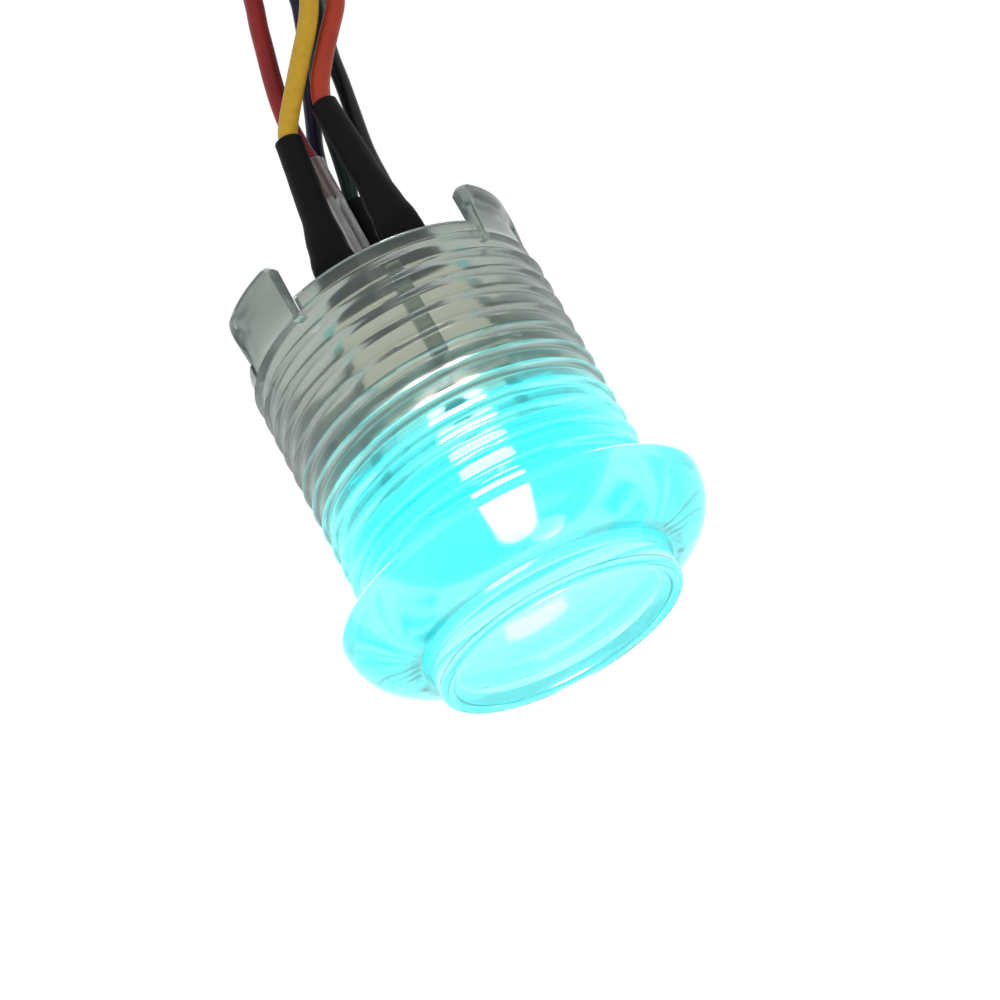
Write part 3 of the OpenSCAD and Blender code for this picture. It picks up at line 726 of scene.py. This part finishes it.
def bent_path(front, corner, mouth, soften=1.5, steps=8):
    """A straight run, a soft bend at the corner, and a straight run to the mouth."""
    before = corner + (front - corner).normalized() * soften
    after = corner + (mouth - corner).normalized() * soften
    shares = [i / steps for i in range(steps + 1)]
    bend = [before.lerp(corner, t).lerp(corner.lerp(after, t), t) for t in shares]
    return [front] + bend + [mouth]


def place_on(path, share):
    """The point at a share of the path's length, and the path's direction there."""
    left = share * path_length(path)
    for a, b in zip(path, path[1:]):
        step = (b - a).length
        if left <= step + 1e-6:
            return a.lerp(b, min(left / step, 1.0)), (b - a).normalized()
        left -= step
    return path[-1], (path[-1] - path[-2]).normalized()


print("a ring has", SLEEVE_SIDES, "points")

# %% [markdown]
# Two sleeves cover a flat receptacle and bend behind it. The other four are straight.

# %% Build the sleeves
def sleeve(name, sections):
    """A hollow sleeve through marks: share of the way, width and thickness."""
    start, mouth = (Vector(p) for p in TAILS[name])
    front = start + Vector((0, 0, sections["reach_back"]))
    path = bent_path(front, start, mouth) if sections["reach_back"] else [start, mouth]
    outer, inner, seed = [], [], len(name)
    marks = sections["marks"]
    for i in range(SLEEVE_STEPS + 1):
        t = i / SLEEVE_STEPS
        low = max(m for m in marks if m[0] <= t)
        high = min(m for m in marks if m[0] >= t)
        share = 0 if high[0] == low[0] else ease(low[0], high[0], t)
        wide, thick = lerp(low[1], high[1], share), lerp(low[2], high[2], share)
        centre, along = place_on(path, t)
        outer.append(ring(centre, along, wide, thick, seed, SLEEVE_DENT))
        wide, thick = wide - 2 * SLEEVE_WALL, thick - 2 * SLEEVE_WALL
        inner.append(ring(centre, along, wide, thick, seed, 0.0))
    wide, thick = marks[-1][1] - SLEEVE_WALL, marks[-1][2] - SLEEVE_WALL
    lip = ring(mouth + along * LIP_OUT, along, wide, thick, seed, 0.0)
    rings = outer + [lip] + inner[::-1]
    points = [p for one in rings for p in one]
    faces = []
    for i in range(len(rings)):
        here, there = i * SLEEVE_SIDES, (i + 1) % len(rings) * SLEEVE_SIDES
        for j in range(SLEEVE_SIDES):
            k = (j + 1) % SLEEVE_SIDES
            faces.append((here + j, here + k, there + k, there + j))
    slot = "shrink_clear" if name in ("red", "blue") else "shrink_black"
    return new_piece(name + "_shrink", points, faces, "housing",
                     stands_for=[name + "_sleeve"], slot=slot)


FLAT = {"reach_back": 6.6, "marks": [
    (0, 4.15, 1.85), (0.26, 4.2, 1.95), (0.32, 4.15, 2.8), (0.42, 3.6, 2.85), (0.6, 2.85, 2.8),
    (1, 2.6, 2.6)]}
ROUND_THICK = {"reach_back": 0.0, "marks": [(0, 2.5, 2.5), (0.6, 2.45, 2.45), (1, 2.5, 2.5)]}
ROUND_THIN = {"reach_back": 0.0, "marks": [(0, 2.2, 2.2), (0.5, 2.15, 2.15), (1, 2.2, 2.2)]}
sleeves = {name: sleeve(name, FLAT) for name in ("yellow", "orange")}
sleeves["red"] = sleeve("red", ROUND_THICK)
sleeves.update({name: sleeve(name, ROUND_THIN) for name in ("blue", "green", "black")})
print(len(sleeves), "sleeves")

# %% [markdown]
# ## The plugs and the switch body
# The photograph ends before the leads do. Leads like these end in small white nylon plugs,
# with a way for each lead and a window over each contact's catch. The CAD bodies of the
# plugs, the switch and the carrier have the right shape but sharp edges. A moulded edge is
# never sharp, and its thin highlight is what the eye reads. So each body is taken from its
# CAD mesh, gets its windows from a Boolean, and has every hard edge rounded.

# %% Soften moulded bodies
FLAT_ANGLE, HARD_ANGLE = math.radians(1), math.radians(50)


def carve(made, windows):
    """Cuts windows, given as (points, faces) pairs, out of an object's mesh."""
    cutter = raw_object("window_cutter", joined(*windows))
    cut = made.modifiers.new("windows", "BOOLEAN")
    cut.operation, cut.solver, cut.object = "DIFFERENCE", "EXACT", cutter
    shown = made.evaluated_get(bpy.context.evaluated_depsgraph_get())
    carved = bpy.data.meshes.new_from_object(shown)
    made.modifiers.clear()
    made.data = carved
    bpy.data.objects.remove(cutter)


def softened(node, round_by, windows=()):
    """A copy of a CAD node with windows cut in it and its hard edges rounded."""
    made = bpy.data.objects.new(node + "_body", frame["nodes"][node].data.copy())
    bpy.context.scene.collection.objects.link(made)
    if windows:
        carve(made, windows)
    work = bmesh.new()
    work.from_mesh(made.data)
    bmesh.ops.remove_doubles(work, verts=work.verts, dist=TOO_SHORT * MM)
    bmesh.ops.dissolve_limit(work, angle_limit=FLAT_ANGLE, verts=work.verts, edges=work.edges)
    hard = [edge for edge in work.edges
            if len(edge.link_faces) == 2 and edge.calc_face_angle(0.0) > HARD_ANGLE]
    bmesh.ops.bevel(work, geom=hard, offset=round_by * MM, segments=3, profile=0.5,
                    affect="EDGES", clamp_overlap=True)
    bmesh.ops.triangulate(work, faces=[face for face in work.faces if len(face.verts) > 4])
    shade_smooth(work)
    work.to_mesh(made.data)
    work.free()
    flat = made.modifiers.new("flat_faces", "WEIGHTED_NORMAL")
    flat.keep_sharp = True
    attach(made, "housing")
    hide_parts(node)
    return made


print("edges over", round(math.degrees(HARD_ANGLE)), "degrees get rounded")

# %% [markdown]
# A nylon plug has soft corners, and the small switch and the carrier have tighter ones.

# %% Plugs, switch and carrier
PLUG_THICK, PLUG_ROUND, SWITCH_ROUND, CARRIER_ROUND = 5.8, 0.22, 0.12, 0.1
WINDOW_W, WINDOW_H, WINDOW_BACK, WINDOW_IN = 1.3, 2.2, 7.0, 0.85


def plug_windows(ways, y):
    """A cutter for each way: a window in the near wall, over the contact."""
    cuts = []
    for way in range(ways):
        x, z = way_x(way, ways), PLUG_FRONT - WINDOW_BACK
        low = (x - WINDOW_W / 2, y - PLUG_THICK / 2 - 1, z)
        high = (x + WINDOW_W / 2, y - WINDOW_IN, z + WINDOW_H)
        cuts.append(block(low, high, 0))
    return cuts


lamp_windows, switch_windows = plug_windows(4, LAMP_PLUG_Y), plug_windows(2, SWITCH_PLUG_Y)
bodies = {
    "lamp_plug": softened("lamp_plug", PLUG_ROUND, lamp_windows),
    "switch_plug": softened("switch_plug", PLUG_ROUND, switch_windows),
    "switch_case": softened("switch_case", SWITCH_ROUND),
    "switch_cover": softened("switch_cover", SWITCH_ROUND),
    "carrier": softened("carrier", CARRIER_ROUND),
}
for name, body in bodies.items():
    print(name, "body:", len(body.data.polygons), "faces")

# %% [markdown]
# ## The lamp
# The lamp is a clear epoxy dome on a flange, which stands on the carrier behind the
# plunger. It is a turned piece too, moved off the button's axis to its own place.

# %% Build the lamp
FLANGE_R, FLANGE_TURN_R, FLANGE_EDGE, FLANGE_H = 2.9, 2.8, 0.1, 1.0
LENS_R, LENS_FOOT_R, LENS_L = 2.48, 2.52, 6.1


def shifted(part, x, y):
    """The same part, moved across the axis."""
    points, faces = part
    return [(px + x, py + y, pz) for px, py, pz in points], faces


def lamp_outline():
    """The flange's outline, then the lens with its round top, above the carrier."""
    line = [(AXIS_R, 0), (FLANGE_TURN_R, 0), (FLANGE_R, FLANGE_EDGE)]
    line += [(FLANGE_R, FLANGE_H - FLANGE_EDGE), (FLANGE_TURN_R, FLANGE_H)]
    line += [(LENS_FOOT_R, FLANGE_H + 0.02), (LENS_R, 3), (LENS_R, LENS_L)]
    line += arc(0, LENS_L, LENS_R, 4, 89.9, 16)
    return [(r, CARRIER_Z + z) for r, z in line]


lamp = new_piece("lamp_dome", *shifted(turned(lamp_outline(), 96), SWITCH_X, LAMP_Y), "housing",
                 stands_for=["lamp_lens"], slot="lamp_epoxy")
print("lamp:", len(lamp.data.polygons), "faces")

# %% [markdown]
# ## Clear plastic
# The barrel's rear looks grey-green and its front glows cyan, because the lamp's light is
# caught in the wall. That light is painted: two things change along the axis, the colour,
# painted cyan as lamp light in front, and a painted glow of the same light. Both come from
# the height, bent a little by noise so that no edge shows. The shader stays the same
# everywhere, with a constant transmission and index.

# %% Finish of the barrel
# The rear tints are grey-green, darker towards the ears. The cyan tints are painted lamp light,
# paler towards the bezel's rim, and the neck and root tints are painted shade. The glows are
# painted lamp light in the wall, and the crest glow is a painted highlight.
REAR_TINT, EAR_TINT = rgb(0.38, 0.42, 0.385), rgb(0.25, 0.28, 0.255)
LAMP_LIT_TINT, LAMP_LIT_RIM_TINT = rgb(0.24, 0.92, 0.94), rgb(0.40, 0.94, 0.96)
NECK_SHADE_TINT, ROOT_SHADE_TINT = rgb(0.20, 0.38, 0.38), rgb(0.14, 0.42, 0.42)
GLOW_DIM, GLOW_HALO = rgb(0.0, 0.004, 0.004), rgb(0.0, 0.03, 0.03)
GLOW_FULL, CREST_HIGHLIGHT_GLOW = rgb(0.0, 0.13, 0.14), rgb(0.10, 0.62, 0.62)
LIT_FROM, LIT_FULL, HALO_FROM = -10.9, -9.5, -17.0
PLASTIC_IOR = 1.49


def radius_of(f):
    """Distance from the button's axis, in millimetres."""
    return (f.x * f.x + f.y * f.y) ** 0.5


def thread_wave(f):
    """1 on the thread's crest and 0 in its root, from the place alone."""
    turn = f.node("Math", {"operation": "ARCTAN2"}, {0: f.y, 1: f.x}) / (2 * math.pi)
    phase = ((f.z - HELIX_START) / THREAD_PITCH - turn) * (2 * math.pi)
    wave = f.node("Math", {"operation": "COSINE"}, {0: phase}) * 0.5 + 0.5
    return wave * (f.z.step(-LAND_L + 0.5, -LAND_L - 0.5) * f.z.step(-25.0, -24.0))


def neck_shade(f, r):
    """1 in the neck and on both its sides, where less of the lamp's light comes out."""
    inside = r.step(12.6, 11.8) * f.z.step(1.0, 3.0)
    beside = r.step(14.0, 12.4) * f.z.step(3.0, 4.2) * (f.x * f.x).step(12.0, 45.0)
    return (inside + beside).clamp()


def barrel_plastic():
    """Grey-green behind; in front painted cyan lamp light, crest highlights and shade."""
    f = Finish("barrel_plastic")
    r = radius_of(f)
    level = f.z + (f.grain(90, 3) - 0.5) * 1.0
    glow = level.step(LIT_FROM, LIT_FULL)
    halo = level.step(HALO_FROM, LIT_FULL)
    neck, wave = neck_shade(f, r), thread_wave(f)
    # painted highlight on the thread's crests, where the lamp's light leaves the wall
    crest = wave.step(0.8, 1.0) * halo
    # painted shade in the thread's roots, where the wall is lit
    root = wave.step(0.35, 0.1) * glow * f.z.step(-2.0, -3.0)
    # painted lamp light: cyan, paler towards the bezel's rim
    lit_tint = f.mix(r.step(14.5, 16.8), LAMP_LIT_TINT, LAMP_LIT_RIM_TINT)
    # painted shade: the neck and its sides are greyer and glow less
    lit_tint = f.mix(neck * 0.9, lit_tint, NECK_SHADE_TINT)
    lit_tint = f.mix(root * 0.6, lit_tint, ROOT_SHADE_TINT)
    dull_tint = f.mix(f.z.step(-24.5, -27.5), REAR_TINT, EAR_TINT)
    # painted glow of the lamp's light in the wall, dimmer in the neck
    lit = f.mix(glow * (1 - 0.8 * neck), f.mix(halo, GLOW_DIM, GLOW_HALO), GLOW_FULL)
    return f.surface(
        base_color=f.mix(glow, dull_tint, lit_tint),
        roughness=0.08 + 0.12 * (1 - glow) * (0.7 + 0.3 * f.grain(900, 2)),
        ior=PLASTIC_IOR,
        transmission_weight=0.93,
        emission_color=f.mix(crest * 0.7, lit, CREST_HIGHLIGHT_GLOW),
        emission_strength=1.0,
        normal=f.bump(f.grain(260, 4, stretch=(1, 1, 3)), 0.02, 0.4),
    )


dress(barrel, barrel_plastic())
print("barrel: lit above", LIT_FROM, "mm")

# %% [markdown]
# The plunger is the same plastic, but thinner, so its painted cyan lamp light is paler. Its
# dish is a little greyer towards the edge, because the lamp stands under the middle: painted
# shade. Two fine rings on the rim and one on its side are painted dark, where the moulded
# steps turn the light away.

# %% Finish of the plunger
# The side and dish tints and the glows are painted cyan lamp light. The dish edge and line tints
# and glows are painted shade.
SIDE_LIT_TINT, DISH_LIT_TINT = rgb(0.52, 0.95, 0.97), rgb(0.42, 0.86, 0.84)
DISH_EDGE_SHADE_TINT, LINE_SHADE_TINT = rgb(0.44, 0.64, 0.60), rgb(0.04, 0.22, 0.24)
SKIRT_GLOW, SIDE_GLOW, LINE_SHADE_GLOW = rgb(0, 0.06, 0.06), rgb(0, 0.13, 0.14), rgb(0, 0.02, 0.02)
DISH_GLOW, DISH_EDGE_SHADE_GLOW = rgb(0, 0.08, 0.08), rgb(0, 0.03, 0.028)


def fine_lines(f, r, top):
    """Masks the rings of painted shade on the rim and the one on the plunger's side."""
    inner = r.step(10.05, 10.13) * r.step(10.33, 10.25)
    outer = r.step(10.78, 10.84) * r.step(11.02, 10.96)
    side = f.z.step(7.30, 7.38) * f.z.step(7.56, 7.48) * r.step(11.0, 11.2)
    return (((inner + outer) * top + side) * 0.85).clamp()


def plunger_plastic():
    """Painted cyan lamp light, with painted shade on the dish's edge and in fine dark rings."""
    f = Finish("plunger_plastic")
    r = radius_of(f)
    top = f.z.step(6.9, 7.2)
    dish, outward = r.step(10.3, 9.8) * top, r.step(5.5, 9.8)
    line = fine_lines(f, r, top)
    tint = f.mix(dish * (0.6 + 0.4 * f.grain(60, 2)), SIDE_LIT_TINT, DISH_LIT_TINT)
    # painted shade: the dish greys and glows less towards its edge
    tint = f.mix(dish * outward * 0.6, tint, DISH_EDGE_SHADE_TINT)
    # painted shade: fine dark rings where the moulded steps turn the light away
    tint = f.mix(line, tint, LINE_SHADE_TINT)
    # painted glow of lamp light, weaker down the skirt
    side_glow = f.mix(f.z.step(-12, -6), SKIRT_GLOW, SIDE_GLOW)
    glow = f.mix(dish, side_glow, f.mix(outward, DISH_GLOW, DISH_EDGE_SHADE_GLOW))
    return f.surface(
        base_color=tint,
        roughness=0.03 + 0.04 * f.grain(900, 2),
        ior=PLASTIC_IOR,
        transmission_weight=0.92,
        emission_color=f.mix(line, glow, LINE_SHADE_GLOW),
        emission_strength=1.0,
        normal=f.bump(f.grain(300, 3), 0.01, 0.4),
    )


dress(plunger, plunger_plastic())
print("plunger: clear plastic with fine dark rings")

# %% [markdown]
# The photograph shows the lamp as the brightest spot, nearly white, with cyan round it.
# The walls in front of it are cyan and swallow red. So its own light holds more red than
# green and blue, and what comes through looks white. Its foot doesn't glow.

# %% Finish of the lamp
FOOT_GLOW, LAMP_GLOW, LAMP_STRENGTH = rgb(0.01, 0.02, 0.02), rgb(1.0, 0.55, 0.55), 150.0
f = Finish("lamp_glow")
dress(lamp, f.surface(base_color=rgb(0.7, 1, 1), roughness=0.2,
                      emission_color=f.mix(f.z.step(-12.6, -10.8), FOOT_GLOW, LAMP_GLOW),
                      emission_strength=LAMP_STRENGTH))
print("lamp strength", LAMP_STRENGTH)

# %% [markdown]
# ## Solid plastics, rubber and metal
# The other finishes share one recipe: a colour with slow and fine variation, a roughness
# that follows the same noise, and a shallow bump at the size of the real texture.

# %% One recipe for the solid finishes
def solid(name, colour, roughness, spread=0.12, scale=700, depth=0.01, metal=0.0,
          stretch=None, gloss=0.5, glow=0.0):
    """A finish with a colour that varies by a spread, and a bump of a depth in mm."""
    f = Finish(name)
    slow, fine = f.grain(scale / 6, 3), f.grain(scale, 4, stretch=stretch)
    dark = rgb(*(c * (1 - 2 * spread) for c in colour))
    light = rgb(*(min(c * (1 + spread), 1) for c in colour))
    return f.surface(
        base_color=f.mix((0.6 * slow + 0.4 * fine).step(0.3, 0.7), dark, light),
        roughness=roughness + (fine - 0.5) * 0.2,
        metallic=metal,
        specular_ior_level=gloss,
        # a glow above 0 paints light in the finish's own colour, as from the lamp
        emission_color=rgb(*colour),
        emission_strength=glow,
        normal=f.bump(fine, depth),
    )


print("one recipe: solid")

# %% [markdown]
# The leads' insulation is soft and only a little glossy, with strong dark colours. The
# black sleeves are matt, with fine marks along them. The clear ones show the lead inside.

# %% Finish of the leads and sleeves
LEAD_COLOUR = {
    "yellow": (0.47, 0.28, 0.02), "orange": (0.30, 0.030, 0.012), "red": (0.21, 0.010, 0.010),
    "blue": (0.012, 0.008, 0.035), "green": (0.004, 0.022, 0.016), "black": (0.003, 0.003, 0.003),
}
for name, lead in leads.items():
    dress(lead, solid(name + "_insulation", LEAD_COLOUR[name], 0.42, spread=0.1, scale=1500,
                      depth=0.008, gloss=0.25))
black_shrink = solid("black_shrink", (0.003, 0.003, 0.0035), 0.55, scale=1800, depth=0.02,
                     stretch=(1, 1, 0.2), gloss=0.1)
for name in ("yellow", "orange", "green", "black"):
    dress(sleeves[name], black_shrink)
f = Finish("clear_shrink")
clear_shrink = f.surface(base_color=rgb(0.70, 0.70, 0.69), roughness=0.12 + 0.15 * f.grain(900, 3),
                         ior=1.45, transmission_weight=0.9,
                         normal=f.bump(f.grain(500, 3, stretch=(1, 1, 0.3)), 0.012))
for name in ("red", "blue"):
    dress(sleeves[name], clear_shrink)
print(len(leads), "leads and", len(sleeves), "sleeves dressed")

# %% [markdown]
# The switch is cream plastic behind a grey wall, lit a little by the lamp, so its finish
# gets a faint painted glow of that light in its own colour. Its blade is bronze and its tabs
# are plated. The plugs are plain nylon. The carrier is clear, and only its rear edges get a
# painted glow of the cyan light.

# %% Finish of the switch, metal parts, plugs and carrier
# The case and cover get a faint painted glow of lamp light in their own colour.
NODE_FINISH = {
    "switch_case": solid("case_plastic", (0.74, 0.68, 0.58), 0.5, spread=0.05, glow=1.0),
    "switch_cover": solid("cover_plastic", (0.78, 0.72, 0.62), 0.5, spread=0.05, glow=1.0),
    "switch_button": solid("button_plastic", (0.45, 0.03, 0.02), 0.4),
    "snap_blade": solid("blade_bronze", (0.75, 0.48, 0.2), 0.25, metal=1.0),
    "common_terminal": solid("tab_plate", (0.8, 0.72, 0.5), 0.3, metal=1.0),
    "open_terminal": solid("tab_plate_2", (0.8, 0.72, 0.5), 0.3, metal=1.0),
    "common_receptacle": solid("receptacle_plate", (0.8, 0.7, 0.45), 0.3, metal=1.0),
    "open_receptacle": solid("receptacle_plate_2", (0.8, 0.7, 0.45), 0.3, metal=1.0),
    "lamp_leads": solid("lead_tin", (0.72, 0.73, 0.75), 0.3, metal=1.0),
    "solder_joints": solid("solder_tin", (0.68, 0.69, 0.71), 0.35, metal=1.0, depth=0.04),
    "lamp_plug": solid("plug_nylon", (0.80, 0.78, 0.71), 0.45, spread=0.03, depth=0.006),
    "switch_plug": solid("plug_nylon_2", (0.80, 0.78, 0.71), 0.45, spread=0.03, depth=0.006),
    "lamp_contacts": solid("contact_tin", (0.78, 0.74, 0.6), 0.3, metal=1.0),
    "switch_contacts": solid("contact_tin_2", (0.78, 0.74, 0.6), 0.3, metal=1.0),
}
for name, material in NODE_FINISH.items():
    dress(bodies.get(name, frame["nodes"][name]), material)
# The carrier's rear gets a painted cyan glow of lamp light.
f = Finish("carrier_plastic")
dress(bodies["carrier"], f.surface(
    base_color=f.mix(f.grain(200, 3), rgb(0.36, 0.45, 0.44), rgb(0.46, 0.54, 0.53)),
    roughness=0.10 + 0.1 * f.grain(600, 3), ior=PLASTIC_IOR, transmission_weight=0.88,
    emission_color=f.mix(f.z.step(-22.5, -24.5), rgb(0, 0, 0), rgb(0.10, 0.34, 0.32)),
    emission_strength=1.0, normal=f.bump(f.grain(400, 3), 0.02)))
print(len(NODE_FINISH) + 1, "CAD nodes dressed")

# %% [markdown]
# For each lead, the loop works out where it leaves its sleeve, how long it is, its way in
# the plug and the points of its path, and keeps none of them.

for name, lead in leads.items():
    way, ways = PLUG_WAY[name]
    tuple(lead_paths[name][0] * MM)
    path_length(lead_paths[name]) * MM
    [tuple(p * MM) for p in lead_paths[name]]

# %% [markdown]
# ## Floor, world and lamps
# The photograph's background is plain white. The floor lies under the plugs. To camera,
# glossy and transmission rays the world is white, so the clear plastic shows white behind
# it, and to the rest it is a soft grey that lights the object plainly.

# %% World and lamps
AMBIENT, WHITE = 0.45, rgb(1, 1, 1)


def seen_directly(tree):
    """1 for the rays that show the background, and 0 for those that light the object."""
    ray = tree.node("LightPath", {}, {})
    through, mirrored = ray.out("Is Transmission Ray"), ray.out("Is Glossy Ray")
    return (ray.out("Is Camera Ray") + through + mirrored).clamp()


def world_light():
    """White where it is seen, and a soft grey light elsewhere."""
    world = bpy.data.worlds.new("studio")
    bpy.context.scene.world = world
    world.use_nodes = True
    tree = NodeTree(world.node_tree)
    strength = tree.node("MapRange", {}, {"Value": seen_directly(tree), "To Min": AMBIENT})
    back = tree.node("Background", {}, {"Color": WHITE, "Strength": strength})
    tree.node("OutputWorld", {}, {"Surface": back})


def area_lamp(name, place, size, power):
    """A round soft lamp that faces the button and doesn't show in its gloss."""
    data = bpy.data.lights.new(name, "AREA")
    data.shape, data.size, data.energy = "DISK", size * MM, power
    lamp_object = bpy.data.objects.new(name, data)
    lamp_object.visible_glossy = False
    bpy.context.scene.collection.objects.link(lamp_object)
    lamp_object.location = Vector(place) * MM
    lamp_object.rotation_euler = (-Vector(place)).to_track_quat("-Z", "Y").to_euler()


world_light()
area_lamp("key_lamp", (-260, -420, 420), 300, 2.2)
area_lamp("fill_lamp", (380, -260, 60), 400, 1.0)
print("world at", AMBIENT, "and two lamps")

# %% [markdown]
# The floor mixes plain paint, which takes the shadow, with a white that is only seen.

# %% Floor
FLOOR_Z, FLOOR_SIZE_M = -129.8, 6.0
bpy.ops.mesh.primitive_plane_add(size=FLOOR_SIZE_M, location=(0, 0, FLOOR_Z * MM))
floor = bpy.context.object
floor.name = "studio_floor"
f = Finish("floor_white")
paint = f.node("BsdfDiffuse", {}, {"Color": rgb(0.85, 0.85, 0.85)})
white = f.node("Emission", {}, {"Color": WHITE, "Strength": 1.02})
shown = f.node("MixShader", {}, {0: seen_directly(f) * 0.97, 1: paint, 2: white})
f.node("OutputMaterial", {}, {"Surface": shown})
dress(floor, f.material)
bpy.context.scene.view_settings.view_transform = "Standard"
print("floor at", FLOOR_Z, "mm")

# %% [markdown]
# ## The end
# The view layer is brought up to date.

# %% Bring the scene up to date
bpy.context.view_layer.update()
